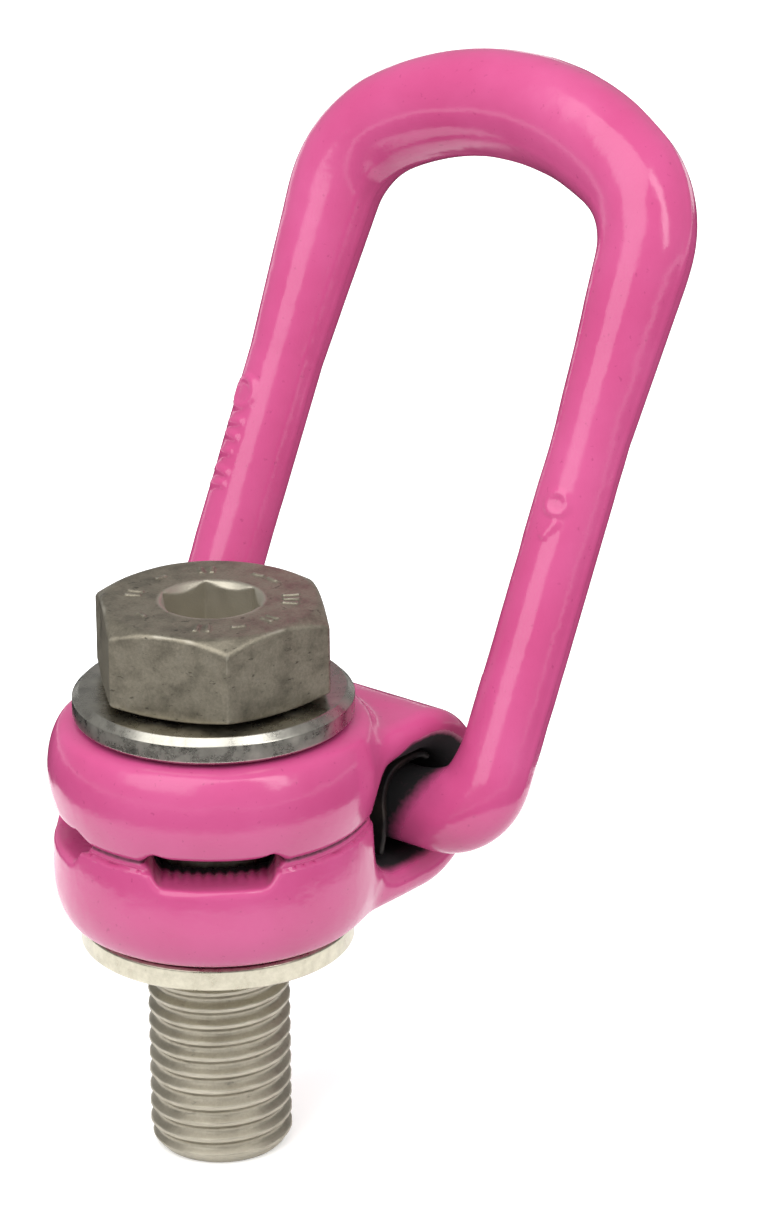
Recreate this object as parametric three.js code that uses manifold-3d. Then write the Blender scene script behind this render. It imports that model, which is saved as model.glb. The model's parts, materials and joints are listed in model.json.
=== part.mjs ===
// Swivelling load ring (eye bolt) for lifting, M16 size. Millimetres, +Z up.
// The origin is on the bolt's axis at the seat of the bush flange. +X points from the
// bolt to the link's crossbar and Y runs along that crossbar.
import * as THREE from 'three';
import { mergeVertices } from 'three/addons/utils/BufferGeometryUtils.js';
import Module from 'manifold-3d';

const wasm = await Module();
wasm.setup();

// Driving sizes
const threadRadius = 8;
const shankReach = 25;          // thread below the seat
const tipRadius = 6.8;
const tipChamfer = 1.5;
const headFlats = 24;
const headHeight = 10;
const headChamferAngle = 30 * Math.PI / 180;
const headTurn = 47.3 * Math.PI / 180;
const socketFlats = 10;
const socketDepth = 6.5;
const socketLead = 0.6;
const washerRadius = 15.5;
const washerThickness = 3;
const washerChamfer = 0.9;
const flangeRadius = 15.2;
const flangeThickness = 2.7;
const flangeChamfer = 0.4;
const sleeveWall = 2.7;
const ringHeight = 1.6;
const ringSection = 1.3;
const ringGapAngle = 24 * Math.PI / 180;
const captiveLift = 3;
const discBulgeDrop = 0.8;      // how far the leaves draw in at the seam
const discFaceInset = 2.9;      // how far they draw in at the top and bottom faces
const discFaceRound = 5.8;      // over what height
const neckTopDrop = 2.5;        // the neck lies this far under the top face
const strapWall = 4.75;
const channelCorner = 4;
const edgeRound = 2;
const seamRise = 2;             // seam above the eye's centre
const channelInset = 1.5;       // the leaves part this far inside the bore's wall
const slotStart = 118.2 * Math.PI / 180;
const slotEnd = 162.4 * Math.PI / 180;
const slotHeight = 2.8;
const linkWire = 4.5;           // radius of the crossbar and lower legs
const linkCrown = 6.3;          // radius at the crown
const linkInnerWidth = 35;
const linkReach = 78.8;         // crossbar axis to the crown's axis
const linkFootRadius = 5.1;
const linkShoulderRadius = 11.4;
const linkCrownArc = 32;        // the crown's own curve
const linkSwellStart = 45;      // where the legs begin to thicken, from the crossbar's axis
const linkLean = 27.2 * Math.PI / 180;
const springThickness = 0.8;
// the spring's middle line: degrees round the crossbar, and how far it stands off there
const springLine = [[213.7, 2], [200, 0.6], [180, 0], [158, 0.6], [139, 1.25], [122, 1.2], [102, 0.75],
  [80, 0.65], [63, 0.4]];
const springInset = 2.3;        // from the neck's side to the spring's end
const springRoom = 3.24;        // between the bush and the crossbar

// Clearances
const contactGap = 0.3;         // between pieces that touch
const boltClearance = 0.5;
const swivelClearance = 0.3;
const eyeClearance = 1.25;      // eye radius over wire radius
const eyeEndGap = 0.81;         // crossbar to the far end of the eye
const legClearance = 2.2;       // neck to leg
const shoulderLap = 0.9;        // the disc stands this far into the legs' path and stops them

// Facets round a turned piece
const roundSteps = 48;
const arcSteps = 6;
const springSteps = 24;

// Widths and reaches that follow
const linkHalfWidth = linkInnerWidth / 2 + linkWire;
const neckWidth = linkInnerWidth - 2 * legClearance;
const discRadius = linkInnerWidth / 2 + shoulderLap;
const sleeveInner = threadRadius + boltClearance;
const sleeveOuter = sleeveInner + sleeveWall;
const housingBore = sleeveOuter + swivelClearance;
const eyeRadius = linkWire + eyeClearance;
const loopRadius = eyeRadius + strapWall;
const crossbarX = sleeveOuter + springRoom + linkWire;
const loopReach = crossbarX - eyeClearance + eyeEndGap;
const channelStart = housingBore - channelInset;
const seamEnd = channelStart + channelCorner / 2;

// Heights that follow from the stack
const housingBottom = flangeThickness + contactGap;
const neckTop = housingBottom + 2 * loopRadius;
const housingTop = neckTop + neckTopDrop;
const washerBottom = housingTop + contactGap;
const washerTop = washerBottom + washerThickness;
const headBottom = washerTop + contactGap;
const headTop = headBottom + headHeight;
const loopCentreZ = housingBottom + loopRadius;
const seamZ = loopCentreZ + seamRise;
const crossbarZ = loopCentreZ - eyeClearance + contactGap;

const sideView = new THREE.Matrix4().makeBasis(
  new THREE.Vector3(1, 0, 0), new THREE.Vector3(0, 0, 1), new THREE.Vector3(0, -1, 0));
const turnUp = new THREE.Matrix4().makeRotationX(Math.PI / 2);

// A closed geometry as a solid that can be cut and joined.
function solid(geometry) {
  const bare = geometry.clone();
  bare.deleteAttribute('normal');
  bare.deleteAttribute('uv');
  const merged = mergeVertices(bare, 1e-4);
  const index = merged.index ? merged.index.array : [...merged.attributes.position.array.keys()];
  return new wasm.Manifold(new wasm.Mesh({
    numProp: 3,
    vertProperties: new Float32Array(merged.attributes.position.array),
    triVerts: new Uint32Array(index),
  }));
}

function toGeometry(body) {
  const mesh = body.getMesh();
  const geometry = new THREE.BufferGeometry();
  geometry.setAttribute('position', new THREE.BufferAttribute(mesh.vertProperties, 3));
  geometry.setIndex(new THREE.BufferAttribute(mesh.triVerts, 1));
  geometry.computeVertexNormals();
  return geometry;
}

// A profile of [radius, height] pairs, listed upwards on its outer side, turned about Z.
function turned(profile, steps = roundSteps) {
  const points = profile.map(([r, z]) => new THREE.Vector2(r, z));
  const lathe = new THREE.LatheGeometry(points, steps);
  return lathe.applyMatrix4(turnUp);
}

// A ring's profile closes on itself.
const turnedRing = (profile, steps) => turned([...profile, profile[0]], steps);

function polygonShape(flats, turn) {
  const corner = flats / 2 / Math.cos(Math.PI / 6);
  const points = [];
  for (let i = 0; i < 6; i++) {
    const angle = turn + i * Math.PI / 3;
    points.push(new THREE.Vector2(corner * Math.cos(angle), corner * Math.sin(angle)));
  }
  return new THREE.Shape(points);
}

function prism(shape, from, to) {
  const geometry = new THREE.ExtrudeGeometry(shape, { depth: to - from, bevelEnabled: false });
  return geometry.translate(0, 0, from);
}

// A flat outline in X and Z, extruded evenly to both sides of the middle plane.
function sidePrism(shape, width, round) {
  const options = { depth: width - 2 * round, bevelEnabled: round > 0, curveSegments: roundSteps / 4 };
  if (round > 0) {
    Object.assign(options, {
      bevelThickness: round, bevelSize: round, bevelOffset: -round, bevelSegments: arcSteps - 2,
    });
  }
  const geometry = new THREE.ExtrudeGeometry(shape, options);
  geometry.translate(0, 0, round - width / 2);
  return geometry.applyMatrix4(sideView);
}

// Full thread length drawn at its crest, a hexagon head chamfered on both faces and a
// hexagon socket with a conical lead-in.
function boltGeometry() {
  const tipZ = -shankReach;
  const shank = solid(turned([
    [0, tipZ], [tipRadius, tipZ], [threadRadius, tipZ + tipChamfer],
    [threadRadius, headBottom + contactGap], [0, headBottom + contactGap],
  ]));
  const corner = headFlats / 2 / Math.cos(Math.PI / 6);
  const chamferFoot = headFlats / 2 * 0.96;
  const topDrop = (corner - chamferFoot) * Math.tan(headChamferAngle);
  const underDrop = topDrop / 2;
  const cone = solid(turned([
    [0, headBottom], [chamferFoot, headBottom], [corner, headBottom + underDrop],
    [corner, headTop - topDrop], [chamferFoot, headTop], [0, headTop],
  ]));
  const head = solid(prism(polygonShape(headFlats, headTurn), headBottom, headTop)).intersect(cone);
  const floor = headTop - socketDepth;
  const socket = solid(prism(polygonShape(socketFlats, headTurn), floor, headTop + contactGap));
  const leadRadius = socketFlats / 2 / Math.cos(Math.PI / 6);
  const lead = solid(turned([
    [0, headTop - socketLead], [leadRadius - socketLead, headTop - socketLead],
    [leadRadius + contactGap, headTop + contactGap], [0, headTop + contactGap],
  ]));
  return toGeometry(head.add(shank).subtract(socket).subtract(lead));
}

function washerGeometry() {
  const inner = threadRadius + 2 * swivelClearance;
  return turnedRing([
    [inner, washerBottom], [washerRadius - washerChamfer / 2, washerBottom],
    [washerRadius, washerBottom + washerChamfer / 2], [washerRadius, washerTop - washerChamfer],
    [washerRadius - washerChamfer, washerTop], [inner, washerTop],
  ]);
}

// Flange and sleeve in one piece. A wide groove inside holds the captive ring and leaves
// it room to rise with the bolt.
function bushGeometry() {
  const grooveRadius = sleeveInner + ringSection + swivelClearance;
  const grooveFloor = flangeThickness;
  const grooveTop = grooveFloor + ringHeight + captiveLift + 2 * contactGap;
  return turnedRing([
    [sleeveInner, 0], [flangeRadius - flangeChamfer, 0], [flangeRadius, flangeChamfer],
    [flangeRadius, flangeThickness - flangeChamfer], [flangeRadius - flangeChamfer, flangeThickness],
    [sleeveOuter, flangeThickness], [sleeveOuter, housingTop], [sleeveInner, housingTop],
    [sleeveInner, grooveTop], [grooveRadius, grooveTop],
    [grooveRadius, grooveFloor], [sleeveInner, grooveFloor],
  ]);
}

// Open snap ring on the shank, in the bush's groove.
function captiveRingGeometry() {
  const inner = threadRadius + contactGap;
  const outer = inner + ringSection;
  const half = ringGapAngle / 2;
  const shape = new THREE.Shape();
  shape.absarc(0, 0, outer, half, 2 * Math.PI - half, false);
  shape.absarc(0, 0, inner, 2 * Math.PI - half, half, true);
  const foot = flangeThickness + contactGap;
  const geometry = new THREE.ExtrudeGeometry(shape, {
    depth: ringHeight, bevelEnabled: false, curveSegments: roundSteps / 2,
  });
  return geometry.translate(0, 0, foot);
}

// One round leaf of the housing: draws in at the seam and rounds over to its outer face.
function leaf(seam, bulge, face) {
  const faceRadius = discRadius - discFaceInset;
  const points = [[0, seam], [discRadius - discBulgeDrop, seam]];
  for (let i = 1; i < arcSteps; i++) {
    const t = i / arcSteps;
    points.push([discRadius - discBulgeDrop * (1 - t) ** 2, seam + (bulge - seam) * t]);
  }
  for (let i = 0; i <= arcSteps; i++) {
    const a = i / arcSteps * Math.PI / 2;
    points.push([faceRadius + discFaceInset * Math.cos(a), bulge + (face - bulge) * Math.sin(a)]);
  }
  points.push([0, face]);
  return solid(turned(face > seam ? points : points.reverse()));
}

// Neck and loop as an outline in X and Z, with the eye and the channel behind it as a hole.
function neckShape() {
  const shape = new THREE.Shape();
  shape.moveTo(0, -loopRadius);
  shape.lineTo(loopReach, -loopRadius);
  shape.absarc(loopReach, 0, loopRadius, -Math.PI / 2, Math.PI / 2, false);
  shape.lineTo(0, loopRadius);
  shape.closePath();
  return shape;
}

function channelShape() {
  const shape = new THREE.Shape();
  shape.moveTo(channelStart + channelCorner, -eyeRadius);
  shape.lineTo(loopReach, -eyeRadius);
  shape.absarc(loopReach, 0, eyeRadius, -Math.PI / 2, Math.PI / 2, false);
  shape.lineTo(channelStart + channelCorner, eyeRadius);
  shape.absarc(channelStart + channelCorner, eyeRadius - channelCorner, channelCorner,
    Math.PI / 2, Math.PI, false);
  shape.absarc(channelStart + channelCorner, channelCorner - eyeRadius, channelCorner,
    Math.PI, Math.PI * 1.5, false);
  return shape;
}

function sectorShape(inner, outer, from, to) {
  const shape = new THREE.Shape();
  shape.absarc(0, 0, outer, from, to, false);
  shape.absarc(0, 0, inner, to, from, true);
  return shape;
}

// A strap folded round the eye: two leaves that meet at a seam and join only at the loop,
// with two slots in the lower leaf where the bush can be seen.
function housingGeometry() {
  const halfSeam = contactGap / 2;
  const lower = leaf(seamZ, housingBottom + discFaceRound, housingBottom);
  const upper = leaf(seamZ, housingTop - discFaceRound, housingTop);
  const neck = neckShape();
  neck.holes.push(channelShape());
  const neckBody = solid(sidePrism(neck, neckWidth, edgeRound).translate(0, 0, loopCentreZ));
  const tall = housingTop + washerRadius;
  const bore = solid(turned([[0, -flangeThickness], [housingBore, -flangeThickness],
    [housingBore, tall], [0, tall]]));
  const reach = discRadius + contactGap;
  const seamShape = new THREE.Shape([
    new THREE.Vector2(-reach, -halfSeam), new THREE.Vector2(seamEnd, -halfSeam),
    new THREE.Vector2(seamEnd, halfSeam), new THREE.Vector2(-reach, halfSeam),
  ]);
  const seam = solid(sidePrism(seamShape, 2 * reach, 0).translate(0, 0, seamZ));
  const channel = solid(sidePrism(channelShape(), 2 * reach, 0).translate(0, 0, loopCentreZ));
  let body = lower.add(upper).add(neckBody).subtract(channel);
  for (const side of [1, -1]) {
    const ends = [side * slotStart, side * slotEnd].sort((a, b) => a - b);
    const shape = sectorShape(sleeveInner, reach, ...ends);
    body = body.subtract(solid(prism(shape, seamZ - slotHeight, seamZ)));
  }
  return toGeometry(body.subtract(bore).subtract(seam));
}

// The link's centre line: crossbar, feet, legs, shoulders and an arched crown, in X (across)
// and Y (up). A shoulder runs into the crown where their centres line up.
function linkPath() {
  const w = linkHalfWidth;
  const shoulderX = w - linkShoulderRadius;
  const crownY = linkReach - linkCrownArc;
  const meet = Math.acos(shoulderX / (linkCrownArc - linkShoulderRadius));
  const shoulderY = crownY + (linkCrownArc - linkShoulderRadius) * Math.sin(meet);
  const path = new THREE.Path();
  path.moveTo(0, 0);
  path.lineTo(w - linkFootRadius, 0);
  path.absarc(w - linkFootRadius, linkFootRadius, linkFootRadius, -Math.PI / 2, 0, false);
  path.lineTo(w, shoulderY);
  path.absarc(shoulderX, shoulderY, linkShoulderRadius, 0, meet, false);
  path.absarc(0, crownY, linkCrownArc, meet, Math.PI - meet, false);
  path.absarc(-shoulderX, shoulderY, linkShoulderRadius, Math.PI - meet, Math.PI, false);
  path.lineTo(-w, linkFootRadius);
  path.absarc(linkFootRadius - w, linkFootRadius, linkFootRadius, Math.PI, Math.PI * 1.5, false);
  path.lineTo(0, 0);
  return path;
}

// A closed ring of round sections along the centre line. The section grows evenly from the
// wire radius on the legs to the crown radius.
function linkGeometry() {
  const path = linkPath();
  const steps = 2 * roundSteps;
  const sides = roundSteps * 3 / 8;
  const positions = [];
  const indices = [];
  for (let i = 0; i < steps; i++) {
    const u = i / steps;
    const centre = path.getPointAt(u);
    const along = path.getTangentAt(u);
    const risen = THREE.MathUtils.inverseLerp(linkSwellStart, linkReach, centre.y);
    const grow = THREE.MathUtils.clamp(risen, 0, 1);
    const radius = THREE.MathUtils.lerp(linkWire, linkCrown, grow);
    for (let j = 0; j < sides; j++) {
      const a = j / sides * 2 * Math.PI;
      const out = radius * Math.cos(a);
      positions.push(radius * Math.sin(a), centre.x + along.y * out, centre.y - along.x * out);
      const next = ((i + 1) % steps) * sides;
      const here = i * sides;
      const k = (j + 1) % sides;
      indices.push(here + j, next + j, here + k, here + k, next + j, next + k);
    }
  }
  const geometry = new THREE.BufferGeometry();
  geometry.setAttribute('position', new THREE.Float32BufferAttribute(positions, 3));
  geometry.setIndex(indices);
  geometry.computeVertexNormals();
  return geometry;
}

// Leaf spring that wraps the crossbar's back and top inside the channel. Its middle line is
// given as angles round the crossbar and how far it stands off there.
function springGeometry() {
  const near = linkWire + contactGap + springThickness / 2;
  const line = new THREE.SplineCurve(springLine.map(([degrees, standOff]) => {
    const angle = THREE.MathUtils.degToRad(degrees);
    return new THREE.Vector2(Math.cos(angle), Math.sin(angle)).multiplyScalar(near + standOff);
  }));
  const sides = [[], []];
  for (let i = 0; i <= springSteps; i++) {
    const point = line.getPoint(i / springSteps);
    const along = line.getTangent(i / springSteps);
    const across = new THREE.Vector2(-along.y, along.x).multiplyScalar(springThickness / 2);
    sides[0].push(point.clone().add(across));
    sides[1].unshift(point.clone().sub(across));
  }
  const width = neckWidth - 2 * springInset;
  const leaf = sidePrism(new THREE.Shape(sides.flat()), width, 0);
  return leaf.translate(crossbarX, 0, crossbarZ);
}

function steel(color, roughness, metalness) {
  return new THREE.MeshStandardMaterial({ color, roughness, metalness });
}

const object = new THREE.Group();

function addPiece(name, geometry, material, parent = object) {
  const mesh = new THREE.Mesh(geometry, material);
  mesh.name = name;
  parent.add(mesh);
}

addPiece('bolt', boltGeometry(), steel(0x8c8674, 0.5, 0.8));
addPiece('washer', washerGeometry(), steel(0xa8a498, 0.35, 0.9));
addPiece('flanged_bush', bushGeometry(), steel(0xd2cbb4, 0.3, 0.9));
addPiece('captive_ring', captiveRingGeometry(), steel(0x55524c, 0.4, 0.9));
addPiece('housing', housingGeometry(), steel(0xde5a9b, 0.4, 0));
addPiece('link_spring', springGeometry(), steel(0x2a2728, 0.5, 0.6));

const linkGroup = new THREE.Group();
linkGroup.position.set(crossbarX, 0, crossbarZ);
linkGroup.rotation.y = linkLean;
addPiece('suspension_link', linkGeometry(), steel(0xde5a9b, 0.4, 0), linkGroup);
object.add(linkGroup);

export default object;
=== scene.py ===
import json
import math
import bpy
import numpy as np
from mathutils import Matrix, Vector


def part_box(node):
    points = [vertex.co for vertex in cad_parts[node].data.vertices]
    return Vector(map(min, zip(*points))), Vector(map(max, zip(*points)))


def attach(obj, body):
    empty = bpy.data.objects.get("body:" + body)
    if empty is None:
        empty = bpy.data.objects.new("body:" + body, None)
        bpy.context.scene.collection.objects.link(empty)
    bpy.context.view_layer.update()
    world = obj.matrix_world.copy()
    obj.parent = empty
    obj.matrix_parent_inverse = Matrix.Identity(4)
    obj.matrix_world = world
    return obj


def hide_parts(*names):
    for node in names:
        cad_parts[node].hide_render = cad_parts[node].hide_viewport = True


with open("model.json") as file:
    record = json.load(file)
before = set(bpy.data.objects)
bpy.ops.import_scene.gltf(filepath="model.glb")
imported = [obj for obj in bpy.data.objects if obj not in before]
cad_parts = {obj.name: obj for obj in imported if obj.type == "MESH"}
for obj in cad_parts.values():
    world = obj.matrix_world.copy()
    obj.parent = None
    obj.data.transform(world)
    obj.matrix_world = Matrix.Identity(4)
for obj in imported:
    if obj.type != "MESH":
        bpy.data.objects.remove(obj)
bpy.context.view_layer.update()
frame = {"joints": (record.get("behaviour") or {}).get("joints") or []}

mm = 0.001
tiny = 1e-9  # keeps a division by a length of nothing from failing


def boxOf(node):
    # the low and high corner of a CAD node in millimetres
    low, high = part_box(node)
    return np.array(low, dtype=float) / mm, np.array(high, dtype=float) / mm


def srgb(hexCode):
    # sRGB hex to linear: the two-part curve of the sRGB standard
    parts = [int(hexCode[i:i + 2], 16) / 255 for i in (1, 3, 5)]
    return [p / 12.92 if p <= 0.04045 else ((p + 0.055) / 1.055) ** 2.4 for p in parts] + [1.0]


def smoothStep(low, high, x):
    t = np.clip((x - low) / (high - low), 0.0, 1.0)
    return t * t * (3 - 2 * t)


def latticeNoise(points, cell, seed):
    # value noise: a random number at each corner of a cubic lattice, blended smoothly between them
    rng = np.random.default_rng(seed)
    table = rng.uniform(-1, 1, (32, 32, 32))
    p = points / cell + 500.0
    base = np.floor(p).astype(int)
    t = p - base
    t = t * t * (3 - 2 * t)
    total = 0.0
    for dx in (0, 1):
        for dy in (0, 1):
            for dz in (0, 1):
                corner = table[(base[..., 0] + dx) % 32, (base[..., 1] + dy) % 32, (base[..., 2] + dz) % 32]
                weight = ((t[..., 0] if dx else 1 - t[..., 0]) * (t[..., 1] if dy else 1 - t[..., 1])
                          * (t[..., 2] if dz else 1 - t[..., 2]))
                total = total + corner * weight
    return total


def meshPiece(name, points, faces, body, node, material, attributes=None):
    # points in millimetres; faces is an array of quads, where a triangle repeats its last corner
    points = np.asarray(points, dtype=np.float64) * mm
    a, b, c, d = (points[faces[:, i]] for i in range(4))
    volume = np.einsum('ij,ij->i', a, np.cross(b, c)).sum() + np.einsum('ij,ij->i', a, np.cross(c, d)).sum()
    if volume < 0:
        faces = faces[:, ::-1]
    isTriangle = (faces[:, 2] == faces[:, 3]) | (faces[:, 0] == faces[:, 1])
    quads = faces[~isTriangle]
    triangles = faces[isTriangle]
    if len(triangles):
        swap = triangles[:, 0] == triangles[:, 1]
        triangles = np.where(swap[:, None], triangles[:, [1, 2, 3, 3]], triangles)[:, :3]
    mesh = bpy.data.meshes.new(name)
    mesh.vertices.add(len(points))
    mesh.vertices.foreach_set("co", points.astype(np.float32).ravel())
    loops = np.concatenate([quads.ravel(), triangles.ravel()]).astype(np.int32)
    sizes = np.concatenate([np.full(len(quads), 4), np.full(len(triangles), 3)])
    starts = np.concatenate([[0], np.cumsum(sizes)[:-1]]).astype(np.int32)
    mesh.loops.add(len(loops))
    mesh.loops.foreach_set("vertex_index", loops)
    mesh.polygons.add(len(sizes))
    mesh.polygons.foreach_set("loop_start", starts)
    mesh.polygons.foreach_set("use_smooth", np.ones(len(sizes), dtype=bool))
    mesh.update(calc_edges=True)
    mesh.validate()
    for key, values in (attributes or {}).items():
        layer = mesh.attributes.new(key, 'FLOAT', 'POINT')
        layer.data.foreach_set("value", np.asarray(values, dtype=np.float32))
    piece = bpy.data.objects.new(name, mesh)
    bpy.context.scene.collection.objects.link(piece)
    piece.data.materials.append(material)
    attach(piece, body)
    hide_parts(node)
    print("made", name, len(quads) * 2 + len(triangles), "triangles")
    return piece


def gridFaces(rows, columns, closeRows, closeColumns, offset=0):
    # quads between neighbouring rows and columns of a grid, wrapped round where it closes
    i = np.arange(rows if closeRows else rows - 1)
    j = np.arange(columns if closeColumns else columns - 1)
    i, j = (v.ravel() for v in np.meshgrid(i, j, indexing='ij'))
    iNext, jNext = (i + 1) % rows, (j + 1) % columns
    return offset + np.stack([i * columns + j, iNext * columns + j,
                              iNext * columns + jNext, i * columns + jNext], axis=1)


def roundedProfile(corners, steps=4, closed=True):
    # each corner (radius, height, rounding) becomes an arc, with one more point either side of it
    # so that flat stretches stay flat in shading
    result = []
    count = len(corners)
    for k, (r, z, rounding) in enumerate(corners):
        here = np.array([r, z], dtype=float)
        if not closed and k in (0, count - 1):
            result.append(here)
            continue
        before = np.array(corners[k - 1][:2], dtype=float) - here
        after = np.array(corners[(k + 1) % count][:2], dtype=float) - here
        lengthBefore, lengthAfter = np.linalg.norm(before), np.linalg.norm(after)
        before, after = before / lengthBefore, after / lengthAfter
        half = math.acos(np.clip(before @ after, -1, 1)) / 2
        cut = min(rounding / math.tan(half), lengthBefore * 0.45, lengthAfter * 0.45)
        first, last = here + before * cut, here + after * cut
        result.append(first + before * min(0.4 * cut, 0.04 * lengthBefore))
        for s in range(steps + 1):
            t = s / steps
            result.append((1 - t) ** 2 * first + 2 * t * (1 - t) * here + t * t * last)
        result.append(last + after * min(0.4 * cut, 0.04 * lengthAfter))
    return np.array(result)


def turnedRing(profile, steps):
    # a closed profile carried round the Z axis
    angle = np.arange(steps) / steps * 2 * math.pi
    r, z = profile[:, 0][None, :], profile[:, 1][None, :]
    points = np.stack([r * np.cos(angle)[:, None], r * np.sin(angle)[:, None],
                       np.broadcast_to(z, (steps, profile.shape[0]))], axis=-1)
    return points, gridFaces(steps, profile.shape[0], True, True)


def roundCut(a, b, radius):
    # where two distance fields both have to be negative, meeting in a fillet of the given radius
    return (np.minimum(-radius, np.maximum(a, b))
            + np.hypot(np.maximum(a + radius, 0), np.maximum(b + radius, 0)))


def softJoin(a, b, blend):
    # the lesser of two distance fields, with a weld-like fillet where they are nearly equal
    h = np.maximum(blend - np.abs(a - b), 0) / blend
    return np.minimum(a, b) - h * h * blend / 4


def rises(field, points, probe):
    # how much a field grows along each axis between two places, the probe before and after the points
    x, y, z = points.T
    return np.stack([field(x + probe, y, z) - field(x - probe, y, z),
                     field(x, y + probe, z) - field(x, y - probe, z),
                     field(x, y, z + probe) - field(x, y, z - probe)], axis=1)


def lumpsOn(points, layers):
    # layers of value noise, each a grain, a height and a seed
    return sum(latticeNoise(points, grain, seed) * height for grain, height, seed in layers)


def netSurface(field, xs, ys, zs, polish=3):
    # surface nets: each grid cell that the zero level crosses gets one point, the mean of the
    # crossings on its twelve edges; a few Newton steps then put the points on the zero level
    grid = np.stack(np.meshgrid(xs, ys, zs, indexing='ij'), axis=-1)
    values = field(grid[..., 0], grid[..., 1], grid[..., 2])
    inside = values < 0
    corners = [(i, j, k) for i in (0, 1) for j in (0, 1) for k in (0, 1)]
    nx, ny, nz = values.shape

    def cornerOf(array, c):
        return array[c[0]:nx - 1 + c[0], c[1]:ny - 1 + c[1], c[2]:nz - 1 + c[2]]

    full = np.ones((nx - 1, ny - 1, nz - 1), dtype=bool)
    some = np.zeros_like(full)
    for c in corners:
        full &= cornerOf(inside, c)
        some |= cornerOf(inside, c)
    cells = np.argwhere(some & ~full)
    number = -np.ones(full.shape, dtype=np.int64)
    number[cells[:, 0], cells[:, 1], cells[:, 2]] = np.arange(len(cells))
    total = np.zeros((len(cells), 3))
    count = np.zeros(len(cells))
    for c in corners:
        for axis in range(3):
            if c[axis]:
                continue
            other = list(c)
            other[axis] = 1
            ia, ib = cells + np.array(c), cells + np.array(other)
            va, vb = values[tuple(ia.T)], values[tuple(ib.T)]
            crossed = (va < 0) != (vb < 0)
            t = np.where(crossed, va / np.where(crossed, va - vb, 1), 0)[:, None]
            total += np.where(crossed[:, None], grid[tuple(ia.T)] * (1 - t) + grid[tuple(ib.T)] * t, 0)
            count += crossed
    points = total / count[:, None]
    faces = []
    for axis in range(3):
        u, v = [k for k in range(3) if k != axis]
        lead = [slice(None)] * 3
        lead[axis] = slice(0, -1)
        trail = [slice(None)] * 3
        trail[axis] = slice(1, None)
        crossing = inside[tuple(lead)] != inside[tuple(trail)]
        for k in (u, v):
            index = [slice(None)] * 3
            index[k] = [0, -1]
            crossing[tuple(index)] = False
        edge = np.argwhere(crossing)
        stepU, stepV = np.eye(3, dtype=int)[u], np.eye(3, dtype=int)[v]
        ring = [edge - stepU - stepV, edge - stepV, edge, edge - stepU]
        quad = np.stack([number[tuple(r.T)] for r in ring], axis=1)
        flip = inside[tuple(edge.T)] != (axis == 1)
        quad[flip] = quad[flip][:, ::-1]
        faces.append(quad)
    faces = np.concatenate(faces)
    limit = 0.5 * min(np.diff(xs).min(), np.diff(ys).min(), np.diff(zs).min())
    probe, flattest = 0.02, 0.05
    for _ in range(polish):
        value = field(*points.T)
        slope = rises(field, points, probe) / (2 * probe)
        step = slope * (value / np.maximum((slope ** 2).sum(1), flattest))[:, None]
        length = np.linalg.norm(step, axis=1, keepdims=True)
        points = points - step * np.minimum(1, limit / np.maximum(length, tiny))
    return points, faces


def gradedAxis(low, high, coarse, fine=None, fineLow=0, fineHigh=0):
    # grid lines that are closer together between fineLow and fineHigh
    lines, at = [low], low
    while at < high:
        at += fine if fine and fineLow <= at <= fineHigh else coarse
        lines.append(at)
    return np.array(lines)


def newMaterial(name):
    material = bpy.data.materials.new(name)
    material.use_nodes = True
    tree = material.node_tree
    shader = next(n for n in tree.nodes if n.type == 'BSDF_PRINCIPLED')
    return material, tree, shader


def perMetre(grainMm):
    # a noise scale, from the size of its grain in millimetres
    return 1 / (grainMm * mm)


def addNode(tree, kind, settings=None, links=None, stops=()):
    # settings holds node properties or input values; links maps an input to another node's output;
    # stops are a ramp's positions, each with a colour or one grey value
    node = tree.nodes.new(kind)
    for key, value in (settings or {}).items():
        if isinstance(key, int) or key in node.inputs.keys():
            node.inputs[key].default_value = value
        else:
            setattr(node, key, value)
    for key, source in (links or {}).items():
        tree.links.new(source, node.inputs[key])
    while stops and len(node.color_ramp.elements) < len(stops):
        node.color_ramp.elements.new(0.5)
    for element, (position, colour) in zip(node.color_ramp.elements if stops else (), stops):
        element.position = position
        element.color = colour if len(colour) == 4 else [colour[0]] * 3 + [1]
    return node


# the near-black colour and its roughness are painted shade in the eye, slots and seam
powderCoat = dict(base="#B84779", light="#BF4F82", dust="#9E3967", steel="#131214", ior=1.5,
                  roughness=0.17, smoother=0.03, rougher=0.06, steelRoughness=0.85, toneMm=9.0, pitMm=0.7,
                  pitShare=0.55, ragged=0.35, shadeFrom=0.1, shadeTo=0.95, peelMm=1.5, peelHeight=0.05,
                  lumpMm=5.0, lumpHeight=0.16, bump=0.7)


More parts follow.
